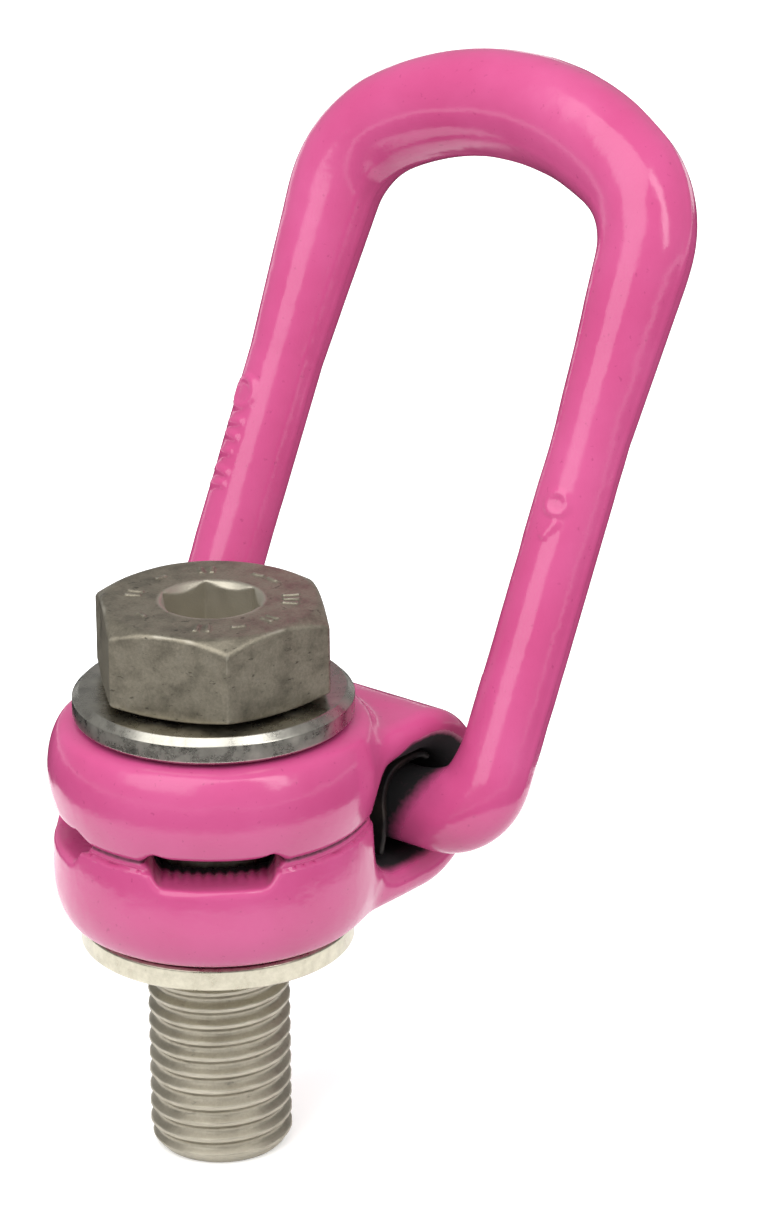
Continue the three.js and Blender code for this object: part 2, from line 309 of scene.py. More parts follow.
def makePowderCoat():
    # glossy polyester powder coat, sprayed and baked on forged steel: even colour, orange peel that
    # breaks up the edges of highlights, broad forging waves beneath
    coat = powderCoat
    material, tree, shader = newMaterial("pinkPowderCoat")
    place = addNode(tree, 'ShaderNodeTexCoord').outputs['Object']
    tone = addNode(tree, 'ShaderNodeTexNoise', {'Scale': perMetre(coat["toneMm"]), 'Detail': 3.0},
                   {'Vector': place})
    colour = addNode(tree, 'ShaderNodeValToRGB', links={0: tone.outputs['Fac']},
                     stops=[(0.3, srgb(coat["base"])), (0.7, srgb(coat["light"]))])
    speck = addNode(tree, 'ShaderNodeTexNoise', {'Scale': perMetre(coat["pitMm"]), 'Detail': 2.0},
                    {'Vector': place})
    pits = addNode(tree, 'ShaderNodeValToRGB', links={0: speck.outputs['Fac']},
                   stops=[(0.68, (0.0,)), (0.76, (coat["pitShare"],))])
    speckled = addNode(tree, 'ShaderNodeMix', {'data_type': 'RGBA', 7: srgb(coat["dust"])},
                       {'Factor': pits.outputs['Color'], 6: colour.outputs['Color']})
    # painted shade: near-black where the mesh is marked as shaded, with a ragged edge
    shadeAttribute = addNode(tree, 'ShaderNodeAttribute', {'attribute_name': "paintedShade"})
    edge = addNode(tree, 'ShaderNodeMath',
                   {'operation': 'MULTIPLY_ADD', 1: coat["ragged"], 2: -coat["ragged"] / 2},
                   {0: speck.outputs['Fac']})
    ragged = addNode(tree, 'ShaderNodeMath', {'operation': 'ADD', 'use_clamp': True},
                     {0: shadeAttribute.outputs['Fac'], 1: edge.outputs[0]})
    reach = addNode(tree, 'ShaderNodeMapRange', {'From Min': coat["shadeFrom"], 'From Max': coat["shadeTo"]},
                    {'Value': ragged.outputs[0]})
    shadedBase = addNode(tree, 'ShaderNodeMix', {'data_type': 'RGBA', 7: srgb(coat["steel"])},
                     {'Factor': reach.outputs['Result'], 6: speckled.outputs[2]})
    tree.links.new(shadedBase.outputs[2], shader.inputs['Base Color'])
    peel = addNode(tree, 'ShaderNodeTexNoise', {'Scale': perMetre(coat["peelMm"]), 'Detail': 2.0},
                   {'Vector': place})
    lump = addNode(tree, 'ShaderNodeTexNoise', {'Scale': perMetre(coat["lumpMm"]), 'Detail': 2.0},
                   {'Vector': place})
    lumpBump = addNode(tree, 'ShaderNodeBump',
                       {'Strength': coat["bump"], 'Distance': coat["lumpHeight"] * mm},
                       {'Height': lump.outputs['Fac']})
    peelBump = addNode(tree, 'ShaderNodeBump',
                       {'Strength': coat["bump"], 'Distance': coat["peelHeight"] * mm},
                       {'Height': peel.outputs['Fac'], 'Normal': lumpBump.outputs['Normal']})
    tree.links.new(peelBump.outputs['Normal'], shader.inputs['Normal'])
    rough = addNode(tree, 'ShaderNodeMapRange',
                    {'From Min': 0.3, 'From Max': 0.7, 'To Min': coat["roughness"] - coat["smoother"],
                     'To Max': coat["roughness"] + coat["rougher"]}, {'Value': tone.outputs['Fac']})
    dull = addNode(tree, 'ShaderNodeMix', {3: coat["steelRoughness"]},
                   {'Factor': reach.outputs['Result'], 2: rough.outputs['Result']})
    tree.links.new(dull.outputs[0], shader.inputs['Roughness'])
    shader.inputs['IOR'].default_value = coat["ior"]
    return material


zincFlake = dict(dark="#7A7466", mid="#968F7F", dusty="#9A9486", pale="#B9B3A4", metallic=0.85,
                 roughness=0.46, smoother=0.06, rougher=0.1, blotchMm=2.6, grainMm=0.35,
                 grainDark=0.82, grainPale=1.15, grainHeight=0.05, bump=0.55,
                 nickMm=1.3, nickSquash=2.2, nickShade=0.5)


def makeZincFlake():
    # dipped and baked zinc flake coating: matt grey with a fine grain, brown-grey blotches and
    # paler edges, socket and thread crests, partly rubbed wear and partly painted highlight
    coat = zincFlake
    material, tree, shader = newMaterial("zincFlakeCoating")
    place = addNode(tree, 'ShaderNodeTexCoord').outputs['Object']
    blotch = addNode(tree, 'ShaderNodeTexNoise',
                     {'Scale': perMetre(coat["blotchMm"]), 'Detail': 5.0, 'Roughness': 0.65},
                     {'Vector': place})
    grain = addNode(tree, 'ShaderNodeTexNoise',
                    {'Scale': perMetre(coat["grainMm"]), 'Detail': 3.0, 'Roughness': 0.7}, {'Vector': place})
    base = addNode(tree, 'ShaderNodeValToRGB', links={0: blotch.outputs['Fac']},
                   stops=[(0.3, srgb(coat["dark"])), (0.55, srgb(coat["mid"])), (0.8, srgb(coat["dusty"]))])
    speck = addNode(tree, 'ShaderNodeMapRange',
                    {'From Min': 0.25, 'From Max': 0.75, 'To Min': coat["grainDark"],
                     'To Max': coat["grainPale"]}, {'Value': grain.outputs['Fac']})
    speckled = addNode(tree, 'ShaderNodeVectorMath', {'operation': 'MULTIPLY'},
                       {0: base.outputs['Color'], 1: speck.outputs['Result']})
    # handling pits: short dark nicks, longer sideways than upwards
    sideways = addNode(tree, 'ShaderNodeMapping', {'Scale': (1, 1, coat["nickSquash"])}, {'Vector': place})
    nick = addNode(tree, 'ShaderNodeTexNoise',
                   {'Scale': perMetre(coat["nickMm"]), 'Detail': 4.0, 'Roughness': 0.6},
                   {'Vector': sideways.outputs['Vector']})
    nicks = addNode(tree, 'ShaderNodeValToRGB', links={0: nick.outputs['Fac']},
                    stops=[(0.63, (1.0,)), (0.70, (coat["nickShade"],))])
    nicked = addNode(tree, 'ShaderNodeVectorMath', {'operation': 'MULTIPLY'},
                     {0: speckled.outputs['Vector'], 1: nicks.outputs['Color']})
    # paler marks: rubbed wear and painted highlight on edges and crests, painted reflection in the socket
    paleMarks = addNode(tree, 'ShaderNodeAttribute', {'attribute_name': "wearAndHighlight"})
    wornAndLit = addNode(tree, 'ShaderNodeMix', {'data_type': 'RGBA', 7: srgb(coat["pale"])},
                   {'Factor': paleMarks.outputs['Fac'], 6: nicked.outputs['Vector']})
    tree.links.new(wornAndLit.outputs[2], shader.inputs['Base Color'])
    rough = addNode(tree, 'ShaderNodeMapRange',
                    {'From Min': 0.3, 'From Max': 0.7, 'To Min': coat["roughness"] - coat["smoother"],
                     'To Max': coat["roughness"] + coat["rougher"]}, {'Value': blotch.outputs['Fac']})
    tree.links.new(rough.outputs['Result'], shader.inputs['Roughness'])
    bump = addNode(tree, 'ShaderNodeBump', {'Strength': coat["bump"], 'Distance': coat["grainHeight"] * mm},
                   {'Height': grain.outputs['Fac']})
    tree.links.new(bump.outputs['Normal'], shader.inputs['Normal'])
    shader.inputs['Metallic'].default_value = coat["metallic"]
    return material


washerZinc = dict(dark="#9F9C93", pale="#CFCCC1", roughness=0.27, blotchMm=3.2, stretch=(1, 1, 1))
flangeZinc = dict(dark="#A09B8A", pale="#CCC7B5", roughness=0.30, blotchMm=2.2, stretch=(0.12, 0.12, 1.0))
zincPlate = dict(smoother=0.08, rougher=0.12, lineMm=0.25, lineHeight=0.02, bump=0.35)


def makeZincPlate(name, zinc):
    # electroplated zinc, bright but not polished: cloudy blotches a few millimetres across, and fine
    # lines, stretched round the piece where it was turned
    material, tree, shader = newMaterial(name)
    place = addNode(tree, 'ShaderNodeTexCoord').outputs['Object']
    cloud = addNode(tree, 'ShaderNodeTexNoise',
                    {'Scale': perMetre(zinc["blotchMm"]), 'Detail': 6.0, 'Roughness': 0.7}, {'Vector': place})
    colour = addNode(tree, 'ShaderNodeValToRGB', links={0: cloud.outputs['Fac']},
                     stops=[(0.3, srgb(zinc["dark"])), (0.7, srgb(zinc["pale"]))])
    tree.links.new(colour.outputs['Color'], shader.inputs['Base Color'])
    rough = addNode(tree, 'ShaderNodeMapRange',
                    {'From Min': 0.3, 'From Max': 0.7, 'To Min': zinc["roughness"] - zincPlate["smoother"],
                     'To Max': zinc["roughness"] + zincPlate["rougher"]}, {'Value': cloud.outputs['Fac']})
    tree.links.new(rough.outputs['Result'], shader.inputs['Roughness'])
    stretch = addNode(tree, 'ShaderNodeMapping', {'Scale': zinc["stretch"]}, {'Vector': place})
    line = addNode(tree, 'ShaderNodeTexNoise', {'Scale': perMetre(zincPlate["lineMm"]), 'Detail': 3.0},
                   {'Vector': stretch.outputs['Vector']})
    bump = addNode(tree, 'ShaderNodeBump',
                   {'Strength': zincPlate["bump"], 'Distance': zincPlate["lineHeight"] * mm},
                   {'Height': line.outputs['Fac']})
    tree.links.new(bump.outputs['Normal'], shader.inputs['Normal'])
    shader.inputs['Metallic'].default_value = 1.0
    return material


springFinish = dict(black="#1B1A1B", brown="#35302B", metallic=0.7, roughness=0.5, cloudMm=2, bump=0.3,
                    height=0.03)


def makeBlackSteel():
    # oil-blackened spring steel: nearly black, with brown where the oil has dried
    material, tree, shader = newMaterial("blackenedSpringSteel")
    place = addNode(tree, 'ShaderNodeTexCoord').outputs['Object']
    cloud = addNode(tree, 'ShaderNodeTexNoise', {'Scale': perMetre(springFinish["cloudMm"]), 'Detail': 4.0},
                    {'Vector': place})
    colour = addNode(tree, 'ShaderNodeValToRGB', links={0: cloud.outputs['Fac']},
                     stops=[(0.35, srgb(springFinish["black"])), (0.7, srgb(springFinish["brown"]))])
    tree.links.new(colour.outputs['Color'], shader.inputs['Base Color'])
    bump = addNode(tree, 'ShaderNodeBump',
                   {'Strength': springFinish["bump"], 'Distance': springFinish["height"] * mm},
                   {'Height': cloud.outputs['Fac']})
    tree.links.new(bump.outputs['Normal'], shader.inputs['Normal'])
    shader.inputs['Metallic'].default_value = springFinish["metallic"]
    shader.inputs['Roughness'].default_value = springFinish["roughness"]
    return material


pinkPowder = makePowderCoat()
boltCoating = makeZincFlake()
washerPlate = makeZincPlate("mottledZincPlate", washerZinc)
flangePlate = makeZincPlate("turnedBrightZinc", flangeZinc)
blackSteel = makeBlackSteel()
print("materials made")

housingLow, housingHigh = boxOf("housing")
housing = dict(discRadius=housingHigh[1], faceRound=1.0, faceHeight=5.8, faceInset=2.9, faceShare=0.97,
               neckHalf=15.3, neckDrop=2.5, edgeRound=2.0, weld=1.6, strap=4.75, bore=11.5,
               bevelDeg=25.0, bevelRadius=17.5, bevelRound=1.2, bevelFoot=1,
               channelStart=10.0, channelCorner=4.0, rimRound=3.0,
               seamRise=2.0, seamDrop=0.5, seamRound=1.0, seamShut=0.08, seamEnd=(11.5, 13.5), seamFill=3,
               flare=1.1, flareAt=21.5, flareHalf=7.0,
               slotAzimuth=140.3, slotHalf=6.5, slotFlare=0.28, slotFoot=1, slotUp=0.85, slotDown=2.5,
               slotRound=0.9, toothHeight=0.32, toothPitch=1.15, toothRange=(15.6, 13.6), farOff=5.0,
               lumps=((5.0, 0.07, 3), (2.2, 0.025, 4)), coatDrop=0.02, smoothWithin=12.5,
               cell=0.34, fineShare=0.55, fineRange=(12.4, 17.2), margin=0.8)
# the loop that the strap makes round the eye, and the height where the two leaves meet
loopRadius = (housingHigh[2] - housingLow[2] - housing["neckDrop"]) / 2
loopX, loopZ = housingHigh[0] - loopRadius, housingLow[2] + loopRadius
eye = loopRadius - housing["strap"]
seam = loopZ + housing["seamRise"]


def channelField(x, z):
    # channel and eye: a slot with a round end towards the loop and softer corners towards the bolt
    start, corner = housing["channelStart"], housing["channelCorner"]
    left = np.hypot(np.minimum(x - start - corner, 0),
                    np.maximum(np.abs(z - loopZ) - (eye - corner), 0)) - corner
    right = np.hypot(np.maximum(x - loopX, 0), z - loopZ) - eye
    return np.where(x < start + corner, left, np.where(x > loopX, right, np.abs(z - loopZ) - eye))


def housingField(x, y, z):
    # distance to the folded forging: two bulged leaves and a neck welded softly together, minus the
    # channel, the bore, the painted seam and the two slots, every outer edge rounded
    bottom, top = housingLow[2], housingHigh[2]
    r = np.hypot(x, y)
    # each leaf draws in as a quarter ellipse towards its face and as a parabola towards the seam;
    # dividing by the profile's slope keeps this a distance
    height, inset = housing["faceHeight"], housing["faceInset"]
    rise = housing["faceShare"] * np.clip(1 - np.where(z > seam, top - z, z - bottom) / height, 0, 1)
    room = np.where(z > seam, top - height - seam, seam - bottom - height)
    sink = np.clip(1 - np.abs(z - seam) / room, 0, 1)
    cosine = np.sqrt(1 - rise ** 2)
    profile = housing["discRadius"] - inset * (1 - cosine) - housing["seamDrop"] * sink ** 2
    side = (r - profile) / np.hypot(1, inset / height * rise / cosine)
    # the upper leaf leans in towards the seam
    lean = math.radians(housing["bevelDeg"])
    bevel = (r - housing["bevelRadius"]) * math.cos(lean) - (z - seam) * math.sin(lean)
    side = roundCut(side, np.where(z > seam - housing["bevelFoot"], bevel, side), housing["bevelRound"])
    disc = roundCut(side, np.maximum(z - top, bottom - z), housing["faceRound"])
    outline = np.hypot(np.maximum(x - loopX, 0), z - loopZ) - loopRadius
    neck = roundCut(np.maximum(outline, -x), np.abs(y) - housing["neckHalf"], housing["edgeRound"])
    # the weld swells where both have the same underside, so it is planed flat again
    body = np.maximum(softJoin(disc, neck, housing["weld"]), bottom - z)
    body = roundCut(body, -channelField(x, z), housing["rimRound"])
    # seam: shut inside by paint, an open groove with rounded shoulders outside
    fade = smoothStep(*housing["seamEnd"], x) * housing["seamFill"]
    turn = np.abs(np.degrees(np.arctan2(np.abs(y), x)) - housing["slotAzimuth"])
    flare = housing["flare"] * np.maximum(0, 1 - np.abs(turn - housing["flareAt"]) / housing["flareHalf"])
    body = roundCut(body, -(np.abs(z - seam) + housing["seamShut"] + fade - flare), housing["seamRound"])
    rounding = housing["slotRound"]
    for sign in (1, -1):
        # each slot is wider at its arched top than at its toothed floor
        a = math.radians(sign * housing["slotAzimuth"])
        across = -x * math.sin(a) + y * math.cos(a)
        along = x * math.cos(a) + y * math.sin(a)
        teeth = (housing["toothHeight"] * np.abs(np.sin(across * math.pi / housing["toothPitch"]))
                 * smoothStep(*housing["toothRange"], along))
        up, down = seam + housing["slotUp"], seam - housing["slotDown"] + teeth
        spread = housing["slotFlare"] * (z - seam + housing["slotFoot"])
        qx = np.abs(across) - housing["slotHalf"] - spread + rounding
        qz = np.maximum(z - up, down - z) + rounding
        slot = np.hypot(np.maximum(qx, 0), np.maximum(qz, 0)) + np.minimum(np.maximum(qx, qz), 0) - rounding
        slot = np.where(along > 0, slot, housing["farOff"])
        body = roundCut(body, -slot, rounding)
    return np.maximum(body, housing["bore"] - r)


# painted shade on the forging: channel, slots, notches and seam darkened; each pair is where the painted
# shade starts and where it is full
paintedShadeZones = dict(rim=0.8, rimMore=1.6, rimHalf=3, rimX=(12.5, 16.0), rimBlur=0.5, channelX=(9.4, 10.0),
                 slotR=(14.0, 12.4), slotX=(9.8, 9.4), slotZ=(7.5, 8.5),
                 notchZ=(1.0, 0.5), notchR=(17.6, 16.9), notchDeg=(26.5, 24.0),
                 seamShare=0.75, seamZ=(0.34, 0.12), seamR=(18.2, 17.6), seamX=(8.0, 7.0))


def housingPaintedShade(points):
    # painted shade: dark over the channel from its rounded upper rim inwards, the slots' depths and flared
    # ends, and the line where the two leaves meet
    x, y, z = points.T
    r, part = np.hypot(x, y), paintedShadeZones
    rim = part["rim"] + part["rimMore"] * smoothStep(
        loopZ - part["rimHalf"], loopZ + part["rimHalf"], z) * smoothStep(*part["rimX"], x)
    inChannel = (smoothStep(rim + part["rimBlur"], rim - part["rimBlur"], channelField(x, z))
                 * smoothStep(*part["channelX"], x))
    offSlot = np.abs(np.degrees(np.arctan2(np.abs(y), x)) - housing["slotAzimuth"])
    fromSeam = np.abs(z - seam)
    inSlot = smoothStep(*part["slotR"], r) * smoothStep(*part["slotX"], x) * smoothStep(*part["slotZ"], z)
    inNotch = (smoothStep(*part["notchZ"], fromSeam) * smoothStep(*part["notchR"], r)
               * smoothStep(*part["notchDeg"], offSlot))
    inSeam = (part["seamShare"] * smoothStep(*part["seamZ"], fromSeam) * smoothStep(*part["seamR"], r)
              * smoothStep(*part["seamX"], x))
    return np.maximum(np.maximum(inChannel, inSlot), np.maximum(inNotch, inSeam))


def makeHousing():
    margin, cell = housing["margin"], housing["cell"]
    xs = gradedAxis(housingLow[0] - margin, housingHigh[0] + margin, cell)
    ys = gradedAxis(housingLow[1] - margin, housingHigh[1] + margin, cell)
    zs = gradedAxis(housingLow[2] - margin, housingHigh[2] + margin, cell, cell * housing["fineShare"],
                    *housing["fineRange"])
    points, faces = netSurface(housingField, xs, ys, zs)
    # forging lumps only take away, so that the piece stays inside its box; the bore is left true
    lumps = lumpsOn(points, housing["lumps"])
    r = np.hypot(points[:, 0], points[:, 1])
    lumps = np.where(r < housing["smoothWithin"], 0, np.minimum(lumps, 0) - housing["coatDrop"])
    slope = rises(housingField, points, 0.05)
    slope /= np.maximum(np.linalg.norm(slope, axis=1, keepdims=True), tiny)
    points = points + slope * lumps[:, None]
    # the housing carries its painted shade as a point attribute for the powder coat
    return meshPiece("housing_body", points, faces, "swivel", "housing", pinkPowder,
                     {"paintedShade": housingPaintedShade(points)})


makeHousing()

swing = next(joint for joint in frame["joints"] if joint["name"] == "link_swing")
pivot = np.array(swing["pos_m"]) / mm
# the shade numbers place a painted shade on the crossbar inside the eye
link = dict(halfWidth=22.0, reach=78.8, foot=5.1, shoulder=11.4, crownArc=32.0, wire=4.5, crown=6.3,
            swellFrom=45.0, leanDeg=27.2, bendEase=2.4, fillet=6.0, filletTop=16, filletFade=5,
            filletRise=4, flashHeight=0.16, flashWidth=0.35, outerFlash=(2, 9), innerFlash=(26, 36),
            inset=0.17, markHeight=0.22, lumps=((6.0, 0.08, 11), (2.5, 0.03, 12)),
            shadeFrom=12.4, shadeTo=16.0, shadeLean=0.5, shadeRound=(7.0, 5.0), rows=900, columns=72)
# raised marks on the legs: which leg, distance along it, place across its face, and then a bar's length,
# width and tilt, or a ring's radius and line width
linkBars = [(1, 36.0, 1.6, 0.7, 2.6, 0.12), (1, 34.4, 1.6, 0.7, 2.6, -0.12), (1, 32.4, 1.6, 0.7, 2.2, 0.12),
            (1, 30.2, 1.6, 0.7, 2.8, -0.12), (1, 28.6, 1.6, 0.7, 2.8, 0.12), (-1, 33.4, 0.8, 2.4, 0.7, 0.5)]
linkRings = [(1, 39.5, 1.6, 1.7, 0.7), (-1, 36.4, 0.8, 1.2, 0.6)]


def linkCentreLine(count):
    # the centre line walked at an even pace: crossbar, foot, leg, shoulder, crown and back; each piece
    # is a straight or an arc given by its length and its turn for each millimetre
    w, reach, foot, shoulder, arch = (link[k] for k in ("halfWidth", "reach", "foot", "shoulder", "crownArc"))
    # the shoulder's turn, found where its centre lines up with the crown's
    meet = math.acos((w - shoulder) / (arch - shoulder))
    leg = reach - arch + (arch - shoulder) * math.sin(meet) - foot
    pieces = [(w - foot, 0.0), (foot * math.pi / 2, 1 / foot), (leg, 0.0), (shoulder * meet, 1 / shoulder),
              (arch * (math.pi - 2 * meet), 1 / arch), (shoulder * meet, 1 / shoulder), (leg, 0.0),
              (foot * math.pi / 2, 1 / foot), (w - foot, 0.0)]
    lengths = np.array([p[0] for p in pieces])
    turns = np.array([p[1] for p in pieces])
    ends = np.concatenate([[0], np.cumsum(lengths)])
    fine = np.linspace(0, ends[-1], 40001)
    curvature = turns[np.clip(np.searchsorted(ends, fine, side='right') - 1, 0, len(pieces) - 1)]
    # corners of a bent bar ease in and out, so the turn rate is averaged over a couple of millimetres
    step = fine[1] - fine[0]
    window = int(link["bendEase"] / step)
    padded = np.concatenate([curvature[-window - 1:-1], curvature[:-1], curvature[:window]])
    smooth = np.convolve(padded, np.ones(window) / window, mode='same')[window:-window]
    heading = np.cumsum(smooth) * step
    heading *= 2 * math.pi / heading[-1]
    heading -= heading[0]
    y, t = np.cumsum(np.cos(heading)) * step, np.cumsum(np.sin(heading)) * step
    # the small error left at the end is shared out, so that the loop closes
    drift = np.linspace(0, 1, len(y))
    y, t = y - drift * y[-1], t - drift * t[-1]
    pick = np.linspace(0, len(y), count, endpoint=False)
    along = np.arange(len(y))
    return np.interp(pick, along, y), np.interp(pick, along, t), np.interp(pick, along, heading)


def linkMarks(y, t, across):
    # how far each point is raised, from 0 to 1: bars and rings with soft edges
    marks = np.zeros_like(across)
    for side, at, place, length, width, tilt in linkBars:
        da, dc = t[:, None] - at, across - place
        ca, sa = math.cos(tilt), math.sin(tilt)
        p, q = np.abs(da * ca + dc * sa), np.abs(-da * sa + dc * ca)
        shape = smoothStep(0.28, -0.1, p - length / 2) * smoothStep(0.28, -0.1, q - width / 2)
        marks = np.maximum(marks, shape * (side * y[:, None] > 10))
    for side, at, place, radius, line in linkRings:
        fromLine = np.abs(np.hypot(t[:, None] - at, across - place) - radius)
        shape = smoothStep(0.25, -0.1, fromLine - line / 2)
        marks = np.maximum(marks, shape * (side * y[:, None] > 10))
    return marks


def elbowField(x, y, z):
    # distance to crossbar and leg, softly joined
    crossbar = np.hypot(x, z) - link["wire"]
    leg = np.hypot(x, np.abs(y) - link["halfWidth"]) - link["wire"]
    return softJoin(crossbar, leg, link["fillet"])


def makeLink():
    # a round section carried along the centre line, thicker towards the crown, with a low flash ridge
    # in the middle plane and raised marks on both legs
    rows, columns = link["rows"], link["columns"]
    y, t, heading = linkCentreLine(rows)
    grow = np.clip((t - link["swellFrom"]) / (link["reach"] - link["swellFrom"]), 0, 1)
    radius = link["wire"] + (link["crown"] - link["wire"]) * grow
    v = np.arange(columns) / columns * 2 * math.pi
    radius = radius[:, None] * np.ones(columns)
    arc = radius * np.angle(np.exp(1j * v))[None, :]
    innerArc = radius * np.angle(np.exp(1j * (v - math.pi)))[None, :]
    # the ridge is ground off inside the loop where the legs pass the body
    flash = (np.exp(-(arc / link["flashWidth"]) ** 2) * smoothStep(*link["outerFlash"], t)[:, None]
             + np.exp(-(innerArc / link["flashWidth"]) ** 2) * smoothStep(*link["innerFlash"], t)[:, None])
    radius = radius + link["flashHeight"] * flash - link["inset"]
    across = radius * np.angle(np.exp(1j * (v[None, :] + math.pi / 2)))
    radius = radius + link["markHeight"] * linkMarks(y, t, across)
    outY, outT = np.sin(heading)[:, None], -np.cos(heading)[:, None]
    p = np.stack([radius * np.sin(v), y[:, None] + radius * np.cos(v) * outY,
                  t[:, None] + radius * np.cos(v) * outT], axis=-1)
    shrink = (1 + np.minimum(lumpsOn(p, link["lumps"]), 0) / radius)[..., None]
    centre = np.stack([np.zeros((rows, columns)), np.broadcast_to(y[:, None], radius.shape),
                       np.broadcast_to(t[:, None], radius.shape)], axis=-1)
    p = centre + (p - centre) * shrink
    # the inner elbows are filled: the points move out to the soft join of crossbar and leg
    nearFoot = p[..., 2] < link["filletTop"]
    q = p[nearFoot]
    probe, flattest = 0.02, 0.2
    value = np.minimum(elbowField(*q.T) + link["inset"], 0)
    value *= (smoothStep(link["halfWidth"], link["halfWidth"] - link["filletFade"], np.abs(q[:, 1]))
              * smoothStep(0, link["filletRise"], q[:, 2]))
    slope = rises(elbowField, q, probe) / (2 * probe)
    slope /= np.maximum(np.linalg.norm(slope, axis=1, keepdims=True), flattest)
    p[nearFoot] = q - slope * value[:, None]
    lean = math.radians(link["leanDeg"])
    x = pivot[0] + p[..., 0] * math.cos(lean) + p[..., 2] * math.sin(lean)
    z = pivot[2] - p[..., 0] * math.sin(lean) + p[..., 2] * math.cos(lean)
    points = np.stack([x, p[..., 1], z], axis=-1).reshape(-1, 3)
    # painted shade on the crossbar inside the eye, further out on top than underneath
    off = points - pivot
    inEye = np.abs(off[:, 1]) - link["shadeLean"] * off[:, 2]
    fromBar = np.hypot(off[:, 0], off[:, 2])
    paintedShade = smoothStep(link["shadeTo"], link["shadeFrom"], inEye) * smoothStep(*link["shadeRound"], fromBar)
    return meshPiece("link_ring", points, gridFaces(rows, columns, True, True), "link", "suspension_link",
                     pinkPowder, {"paintedShade": paintedShade})


makeLink()

boltLow, boltHigh = boxOf("bolt")
bolt = dict(flats=24.0, headHeight=10.0, turnDeg=47.3, chamferDeg=30, chamferFoot=11.5, underShare=0.6,
            edge=0.35, faceRound=0.2, socketFlats=10.0, socketDepth=6.5, socketLead=5.8, leadDeg=45,
            socketRound=0.18, leadRound=0.15, markAt=8.7, markHeight=0.16, markHalf=0.2, markBlend=0.12,
            farOff=9.0, dents=((3.0, 0.05, 22), (1.1, 0.02, 23)), dentsFrom=9, cell=0.24, rowHeight=0.3,
            fineRow=0.13, fineDepth=1.6, margin=0.6)
# plain raised dashes round the socket: angle, length outwards, width across
headMarks = [(-150, 1.9, 0.5), (-142, 1.9, 0.5), (-120, 0.5, 1.6), (-96, 1.7, 0.5), (-90, 1.7, 0.5),
             (-60, 1.8, 0.5), (-52, 1.8, 0.5), (-44, 1.8, 0.5), (-10, 0.5, 1.5), (4, 0.5, 1.5),
             (40, 1.6, 0.5), (48, 1.6, 0.5), (80, 0.5, 1.5), (112, 1.8, 0.5), (120, 1.8, 0.5),
             (160, 0.5, 1.6)]


def headField(x, y, z):
    # distance to the hexagon head: six flats cut by a cone above and a shallower one below, less the
    # hexagon socket with its conical mouth
    top, bottom = boltHigh[2], boltHigh[2] - bolt["headHeight"]
    r = np.hypot(x, y)
    turn = math.radians(bolt["turnDeg"] + 30)
    angle = (np.arctan2(y, x) - turn + math.pi / 6) % (math.pi / 3) - math.pi / 6
    across = r * np.cos(angle)
    hexagon = across - bolt["flats"] / 2
    lift = math.radians(bolt["chamferDeg"])
    under = lift * bolt["underShare"]
    above = (r - bolt["chamferFoot"]) * math.sin(lift) + (z - top) * math.cos(lift)
    below = (r - bolt["chamferFoot"]) * math.sin(under) + (bottom - z) * math.cos(under)
    head = roundCut(hexagon, np.maximum(above, below), bolt["edge"])
    head = roundCut(head, np.maximum(z - top + bolt["markHeight"], bottom - z), bolt["faceRound"])
    socket = np.maximum(across - bolt["socketFlats"] / 2, top - bolt["socketDepth"] - z)
    lead = math.radians(bolt["leadDeg"])
    mouth = (r - bolt["socketLead"]) * math.sin(lead) - (z - top) * math.cos(lead)
    head = roundCut(head, -socket, bolt["socketRound"])
    head = roundCut(head, -mouth, bolt["leadRound"])
    marks = np.full(x.shape, bolt["farOff"])
    for degrees, length, width in headMarks:
        a = math.radians(degrees)
        px = x * math.cos(a) + y * math.sin(a) - bolt["markAt"]
        py = -x * math.sin(a) + y * math.cos(a)
        box = np.maximum(np.abs(px) - length / 2, np.abs(py) - width / 2)
        marks = np.minimum(marks, np.maximum(box, np.abs(z - top + bolt["markHalf"]) - bolt["markHalf"]))
    return softJoin(head, marks, bolt["markBlend"])


headWearAndHighlight = dict(probe=0.35, sharp=(0.25, 0.6), grain=1.2, grainShare=0.2, lowest=3.5, below=0.1,
                patch=2.0, patchRange=(-0.9, 0.3), socket=0.9, socketFade=0.3)


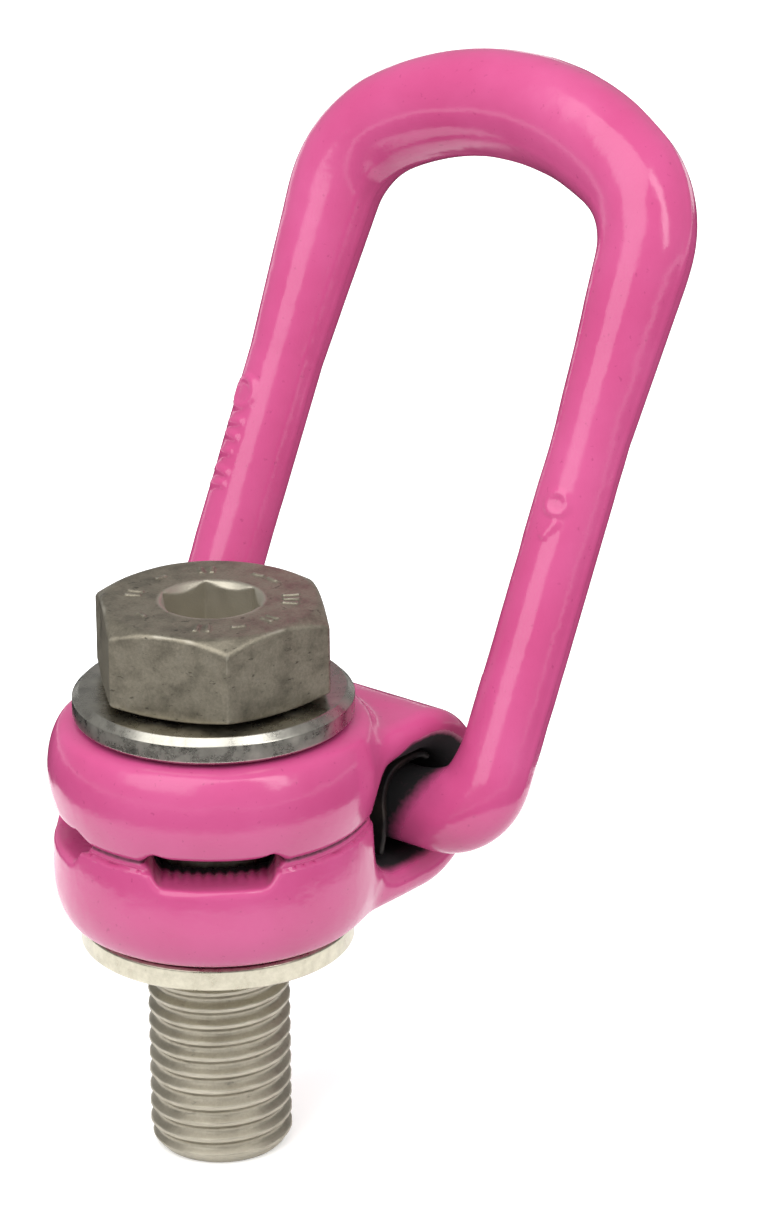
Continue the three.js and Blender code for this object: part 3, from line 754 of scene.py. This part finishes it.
def makeBoltHead():
    margin = bolt["margin"]
    half = bolt["flats"] / 2 / math.cos(math.pi / 6) + margin
    top, bottom = boltHigh[2], boltHigh[2] - bolt["headHeight"]
    xs = gradedAxis(-half, half, bolt["cell"])
    zs = gradedAxis(bottom - margin, top + margin, bolt["rowHeight"], bolt["fineRow"],
                    top - bolt["fineDepth"], top + margin)
    points, faces = netSurface(headField, xs, xs, zs)
    x, y, z = points.T
    # rubbed edges, with painted highlight on the upper ones: where the surface turns sharply, found from how
    # far the field curves
    h = headWearAndHighlight["probe"]
    bend = sum(headField(x + sx, y + sy, z + sz) for sx, sy, sz in
               ((h, 0, 0), (-h, 0, 0), (0, h, 0), (0, -h, 0), (0, 0, h), (0, 0, -h)))
    grain = latticeNoise(points, headWearAndHighlight["grain"], 21) * headWearAndHighlight["grainShare"]
    paleAmount = smoothStep(*headWearAndHighlight["sharp"], bend + grain)
    # painted highlight: the pale edges stay mostly near the top, where the light catches them
    paleAmount *= (np.where(z > top - headWearAndHighlight["lowest"], 1.0, headWearAndHighlight["below"])
             * smoothStep(*headWearAndHighlight["patchRange"], latticeNoise(points, headWearAndHighlight["patch"], 24)))
    # painted reflection: the socket's walls are paler than the outside
    lead = bolt["socketLead"]
    inSocket = smoothStep(lead + headWearAndHighlight["socketFade"], lead, np.hypot(x, y))
    paleAmount = np.maximum(paleAmount, headWearAndHighlight["socket"] * inSocket)
    dents = lumpsOn(points, bolt["dents"])
    direction = np.stack([x, y, np.zeros_like(x)], axis=1)
    direction /= np.maximum(np.linalg.norm(direction, axis=1, keepdims=True), tiny)
    outer = np.hypot(x, y) > bolt["dentsFrom"]
    points = points + direction * (np.where(outer, np.minimum(dents, 0), 0))[:, None]
    return meshPiece("bolt_head", points, faces, "bolt", "bolt", boltCoating,
                     {"wearAndHighlight": paleAmount})


thread = dict(radius=8.0, inset=0.05, neckInset=0.1, pitch=2.0, depth=0.85, crest=0.14, flank=0.70,
              rootRound=0.1, rootRange=(0.75, 1.0), foldDepth=0.09, foldAt=0.03, foldWidth=0.05,
              tipRadius=6.8, tipLength=1.9, top=3.2, rowHeight=0.105, columns=200, pale=0.34,
              crestWearAndHighlight=(0.30, 0.0), paleBase=0.55, paleMore=0.45, paleGrain=1.6, tipWear=0.55,
              endWear=0.2, endRings=(0.93, 0.5))


def makeBoltThread():
    # radius is a function of angle and height: the 60 degree thread profile along a helix, cut back by
    # the rounded tip and fading into the plain part under the head
    tip, top, radius, pitch = boltLow[2], thread["top"], thread["radius"], thread["pitch"]
    headBottom = boltHigh[2] - bolt["headHeight"]
    heights = np.concatenate([np.arange(tip, top, thread["rowHeight"]),
                              [top, top + 0.6, headBottom - 1, headBottom + 0.6]])
    rows, columns = len(heights), thread["columns"]
    angle = np.arange(columns) / columns * 2 * math.pi
    z, a = np.meshgrid(heights, angle, indexing='ij')
    phase = ((z - a / (2 * math.pi) * pitch) / pitch) % 1.0
    # triangle wave with a narrow flat crest and a rounded root; rolling leaves a fine fold on the crest
    wave = np.abs(phase - 0.5) * 2
    cut = np.clip((wave - thread["crest"]) / thread["flank"], 0, 1)
    cut = cut - thread["rootRound"] * smoothStep(*thread["rootRange"], cut)
    fold = thread["foldDepth"] * np.exp(-((wave - thread["foldAt"]) / thread["foldWidth"]) ** 2)
    r = radius - thread["inset"] - thread["depth"] * cut - fold
    tipLimit = thread["tipRadius"] + (radius - thread["tipRadius"]) * np.sin(
        np.clip((z - tip) / thread["tipLength"], 0, 1) * math.pi / 2)
    r = np.minimum(r, tipLimit)
    r = np.where(z > top + 0.3, radius - thread["neckInset"], r)
    points = np.stack([r * np.cos(a), r * np.sin(a), z], axis=-1)
    # paler crests on a paler tone: partly wear, partly painted highlight on the crests
    grain = thread["paleBase"] + thread["paleMore"] * latticeNoise(points, thread["paleGrain"], 31)
    paleAmount = smoothStep(*thread["crestWearAndHighlight"], cut) * grain
    paleAmount = thread["pale"] + (1 - thread["pale"]) * paleAmount
    paleAmount = np.where(z < tip + thread["tipLength"], np.maximum(paleAmount, thread["tipWear"]), paleAmount)
    # closed ends: two inner rings and a pole point below, a pole point above
    rings = [np.stack([r[0] * share * np.cos(angle), r[0] * share * np.sin(angle),
                       np.full(columns, tip)], axis=1) for share in thread["endRings"]]
    points = np.concatenate([points.reshape(-1, 3), *rings, [[0, 0, tip], [0, 0, heights[-1]]]])
    paleAmount = np.concatenate([paleAmount.ravel(), np.full(2 * columns + 1, thread["endWear"]), [0.0]])
    j = np.arange(columns)
    nextJ = (j + 1) % columns
    last, outer, inner = (rows - 1) * columns, rows * columns, (rows + 1) * columns
    pole = np.full(columns, (rows + 2) * columns)
    faces = np.concatenate([
        gridFaces(rows, columns, False, True),
        np.stack([outer + j, j, nextJ, outer + nextJ], axis=1),
        np.stack([inner + j, outer + j, outer + nextJ, inner + nextJ], axis=1),
        np.stack([pole, inner + j, inner + nextJ, inner + nextJ], axis=1),
        np.stack([last + j, pole + 1, last + nextJ, last + nextJ], axis=1)])
    return meshPiece("bolt_shank", points, faces, "bolt", "bolt", boltCoating,
                     {"wearAndHighlight": np.clip(paleAmount, 0, 1)})


makeBoltHead()
makeBoltThread()

washerLow, washerHigh = boxOf("washer")
washer = dict(bore=8.6, chamfer=0.8, lip=0.35, edge=0.25, wobble=0.0012, wobbleFrom=12, steps=256)


def makeWasher():
    # a chamfered profile turned round the bolt, very slightly out of round
    r, low, high = washerHigh[0], washerLow[2], washerHigh[2]
    bore, c, lip, e = washer["bore"], washer["chamfer"], washer["lip"], washer["edge"]
    profile = roundedProfile([(bore, low, e), (r - lip, low, e), (r, low + lip, e), (r, high - c, e),
                              (r - c, high, e), (bore, high, e)])
    grid, faces = turnedRing(profile, washer["steps"])
    a = np.arctan2(grid[..., 1], grid[..., 0])
    outer = np.hypot(grid[..., 0], grid[..., 1]) > washer["wobbleFrom"]
    shrink = 1 - (washer["wobble"] + washer["wobble"] * np.sin(3 * a + 1) * outer)
    grid[..., :2] *= shrink[..., None]
    return meshPiece("flat_washer", grid.reshape(-1, 3), faces, "washer", "washer", washerPlate)


makeWasher()

bushLow, bushHigh = boxOf("flanged_bush")
bush = dict(flangeThickness=2.7, bore=8.5, sleeve=11.2, edge=0.3, root=0.1, rim=0.15, grooveLow=2.7,
            grooveHigh=7.9, grooveRadius=10.1, grooveEdge=0.08, line=12.6, lineHalf=0.25, lineFloor=0.1,
            lineDepth=0.22, lineEdge=0.06, steps=256)


def makeBush():
    # flange, sleeve with a fine turned line round it, and the captive ring's groove in the bore
    r, low, high = bushHigh[0], bushLow[2], bushHigh[2]
    e, sleeve, flange, bore = bush["edge"], bush["sleeve"], low + bush["flangeThickness"], bush["bore"]
    line, half, floor, fine = bush["line"], bush["lineHalf"], bush["lineFloor"], bush["lineEdge"]
    depth, groove, corner = bush["lineDepth"], bush["grooveRadius"], bush["grooveEdge"]
    profile = roundedProfile([
        (bore, low, e), (r - e, low, e), (r, low + e, e), (r, flange - e, e), (r - e, flange, e),
        (sleeve, flange, bush["root"]), (sleeve, line - half, fine), (sleeve - depth, line - floor, fine),
        (sleeve - depth, line + floor, fine), (sleeve, line + half, fine), (sleeve, high, bush["rim"]),
        (bore, high, bush["rim"]), (bore, bush["grooveHigh"], corner), (groove, bush["grooveHigh"], corner),
        (groove, bush["grooveLow"], corner), (bore, bush["grooveLow"], corner)])
    grid, faces = turnedRing(profile, bush["steps"])
    return meshPiece("bush_flange", grid.reshape(-1, 3), faces, "bush", "flanged_bush",
                     flangePlate)


makeBush()

springLow, springHigh = boxOf("link_spring")
# partly painted shade: the black strip's wrap over the crossbar's top fills the dark of the channel
# the middle line as angle round the crossbar and stand-off from the closest it may come
spring = dict(thickness=0.8, gap=0.3, steps=30, endShare=0.6, sideShare=0.7, sideDepth=0.15, flatHalf=4,
              line=[(213.7, 2.0), (200, 0.6), (180, 0.0), (158, 0.6), (139, 1.25), (122, 1.2), (102, 0.75),
                    (80, 0.65), (63, 0.4)])


def makeSpring():
    # a rounded strip whose middle line is a uniform Catmull-Rom curve, carried across the width
    t = spring["thickness"]
    near = link["wire"] + spring["gap"] + t / 2
    knots = np.array([((near + off) * math.cos(math.radians(a)), (near + off) * math.sin(math.radians(a)))
                      for a, off in spring["line"]])
    knots = np.concatenate([knots[:1], knots, knots[-1:]])
    at = np.linspace(0, len(knots) - 3, spring["steps"])
    k = np.minimum(at.astype(int), len(knots) - 4)
    u = (at - k)[:, None]
    p0, p1, p2, p3 = (knots[k + i] for i in range(4))
    line = p1 + u * (p2 - p0) / 2 + u ** 2 * (2 * p0 - 5 * p1 + 4 * p2 - p3) / 2 + u ** 3 * (
        3 * p1 - p0 - 3 * p2 + p3) / 2
    way = np.gradient(line, axis=0)
    way /= np.linalg.norm(way, axis=1, keepdims=True)
    out = np.stack([-way[:, 1], way[:, 0]], axis=1) * t / 2
    inset = np.ones(len(line))
    inset[[0, -1]] = spring["endShare"]
    outline = np.concatenate([line + out * inset[:, None], (line - out * inset[:, None])[::-1]])
    outline += np.array([pivot[0], pivot[2]])
    depth, flat = spring["sideDepth"], spring["flatHalf"]
    widths = np.array([springLow[1], springLow[1] + depth, -flat, flat, springHigh[1] - depth, springHigh[1]])
    count, rows, half = len(outline), len(widths), len(line)
    middle = (outline[:half] + outline[half:][::-1]) / 2
    middle = np.concatenate([middle, middle[::-1]])
    thin = spring["sideShare"]
    squeeze = np.array([thin, 1, 1, 1, 1, thin])[:, None, None]
    section = middle[None] + (outline - middle)[None] * squeeze
    grid = np.stack([section[..., 0], np.broadcast_to(widths[:, None], (rows, count)), section[..., 1]],
                    axis=-1)
    faces = [gridFaces(rows, count, False, True)]
    j = np.arange(half - 1)
    for row in (0, rows - 1):
        start = row * count
        cap = [start + j, start + j + 1, start + count - 2 - j, start + count - 1 - j]
        faces.append(np.stack(cap if row == 0 else cap[::-1], axis=1))
    return meshPiece("leaf_spring", grid.reshape(-1, 3), np.concatenate(faces), "swivel", "link_spring",
                     blackSteel)


makeSpring()

# the captive ring keeps the frame's own shape and only gets its finish
ringNode = bpy.data.objects.get("captive_ring")
if ringNode:
    for k in range(len(ringNode.material_slots)):
        ringNode.material_slots[k].material = blackSteel

stageLook = dict(floorColour="#FFFFFF", floorBounce="#BCBCBC", floorSize=3.0, floorGlow=0.16, matt=0.9,
                 cardColour="#0C0C0D", cardInner=0.085, cardOuter=0.62, cardLift=0.012, cardSteps=64,
                 skyDiffuse=0.85, skyGlossy=0.30, skyCamera=1.0)
tipHeight = boltLow[2] * mm
white = (1.0, 1.0, 1.0, 1.0)


def stagePiece(name, points, faces, material):
    mesh = bpy.data.meshes.new(name)
    mesh.from_pydata(points, [], faces)
    piece = bpy.data.objects.new(name, mesh)
    bpy.context.scene.collection.objects.link(piece)
    piece.data.materials.append(material)
    return piece


def makeFloor():
    # the paper is white to the camera and in reflections, and greyer as a source of bounced light
    material, tree, shader = newMaterial("paperSweep")
    shader.inputs['Roughness'].default_value = stageLook["matt"]
    shader.inputs['Specular IOR Level'].default_value = 0.0
    shader.inputs['Emission Color'].default_value = white
    shader.inputs['Emission Strength'].default_value = stageLook["floorGlow"]
    ray = addNode(tree, 'ShaderNodeLightPath')
    bounce = addNode(tree, 'ShaderNodeMix', {'data_type': 'RGBA', 6: srgb(stageLook["floorColour"]),
                                             7: srgb(stageLook["floorBounce"])},
                     {'Factor': ray.outputs['Is Diffuse Ray']})
    tree.links.new(bounce.outputs[2], shader.inputs['Base Color'])
    s = stageLook["floorSize"]
    return stagePiece("floor", [(x, y, tipHeight) for x, y in ((-s, -s), (s, -s), (s, s), (-s, s))],
                      [(0, 1, 2, 3)], material)


def makeFlagCard():
    # a dark flat ring on the table round the object, seen only in reflections
    material, _, shader = newMaterial("blackFlagCard")
    shader.inputs['Base Color'].default_value = srgb(stageLook["cardColour"])
    shader.inputs['Roughness'].default_value = stageLook["matt"]
    n = stageLook["cardSteps"]
    turns = np.arange(n) / n * 2 * math.pi
    rings = [(r * math.cos(t), r * math.sin(t), tipHeight + stageLook["cardLift"])
             for r in (stageLook["cardInner"], stageLook["cardOuter"]) for t in turns]
    card = stagePiece("flag_card", rings, [(k, (k + 1) % n, n + (k + 1) % n, n + k) for k in range(n)],
                      material)
    card.visible_camera = card.visible_diffuse = card.visible_shadow = card.visible_transmission = False


lights = [
    dict(name="keyLight", at=(-1.04, 0.02, 1.45), size=(1.60, 2.4), power=29.5, aim=(0.01, 0, 0.03)),
    dict(name="fillLight", at=(-0.02, -1.24, 1.20), size=(0.44, 1.6), power=10.0, aim=(0.01, 0, 0.03)),
    dict(name="topLight", at=(0.50, 0.70, 1.90), size=(1.0, 1.0), power=6.0, aim=(0.0, 0, 0.0)),
]


def makeLights():
    # the top light fills the upper faces, and is kept out of reflections
    for light in lights:
        data = bpy.data.lights.new(light["name"], 'AREA')
        data.shape = 'RECTANGLE'
        data.size, data.size_y = light["size"]
        data.energy = light["power"]
        lamp = bpy.data.objects.new(light["name"], data)
        lamp.location = light["at"]
        direction = Vector(light["aim"]) - Vector(light["at"])
        lamp.rotation_euler = direction.to_track_quat('-Z', 'Y').to_euler()
        lamp.visible_glossy = light["name"] != "topLight"
        bpy.context.scene.collection.objects.link(lamp)


def makeWorld():
    # white where the camera looks straight at it, grey in reflections, soft for everything else
    world = bpy.data.worlds.new("studio")
    world.use_nodes = True
    sky = world.node_tree
    back = next(n for n in sky.nodes if n.type == 'BACKGROUND')
    back.inputs['Color'].default_value = white
    ray = addNode(sky, 'ShaderNodeLightPath')
    indirect = addNode(sky, 'ShaderNodeMix', {2: stageLook["skyDiffuse"], 3: stageLook["skyGlossy"]},
                       {'Factor': ray.outputs['Is Glossy Ray']})
    strength = addNode(sky, 'ShaderNodeMix', {3: stageLook["skyCamera"]},
                       {'Factor': ray.outputs['Is Camera Ray'], 2: indirect.outputs[0]})
    sky.links.new(strength.outputs[0], back.inputs['Strength'])
    bpy.context.scene.world = world


cameraView = dict(azimuthDeg=-51.10, elevationDeg=21.56, rollDeg=-0.41, lensMm=158.17, sensorMm=36.0,
                  clipStart=0.01, at=(-0.4121, -0.3572, 0.2534))


def makeCamera():
    data = bpy.data.cameras.new("camera")
    data.lens = cameraView["lensMm"]
    data.sensor_width = cameraView["sensorMm"]
    data.clip_start = cameraView["clipStart"]
    camera = bpy.data.objects.new("camera", data)
    camera.matrix_world = (Matrix.Translation(cameraView["at"])
                           @ Matrix.Rotation(math.radians(cameraView["azimuthDeg"]), 4, 'Z')
                           @ Matrix.Rotation(math.radians(90 - cameraView["elevationDeg"]), 4, 'X')
                           @ Matrix.Rotation(math.radians(cameraView["rollDeg"]), 4, 'Z'))
    bpy.context.scene.collection.objects.link(camera)
    bpy.context.scene.camera = camera


makeFloor()
makeFlagCard()
makeLights()
makeWorld()
makeCamera()
bpy.context.scene.view_settings.view_transform = 'Standard'
print("stage, lights and camera made")
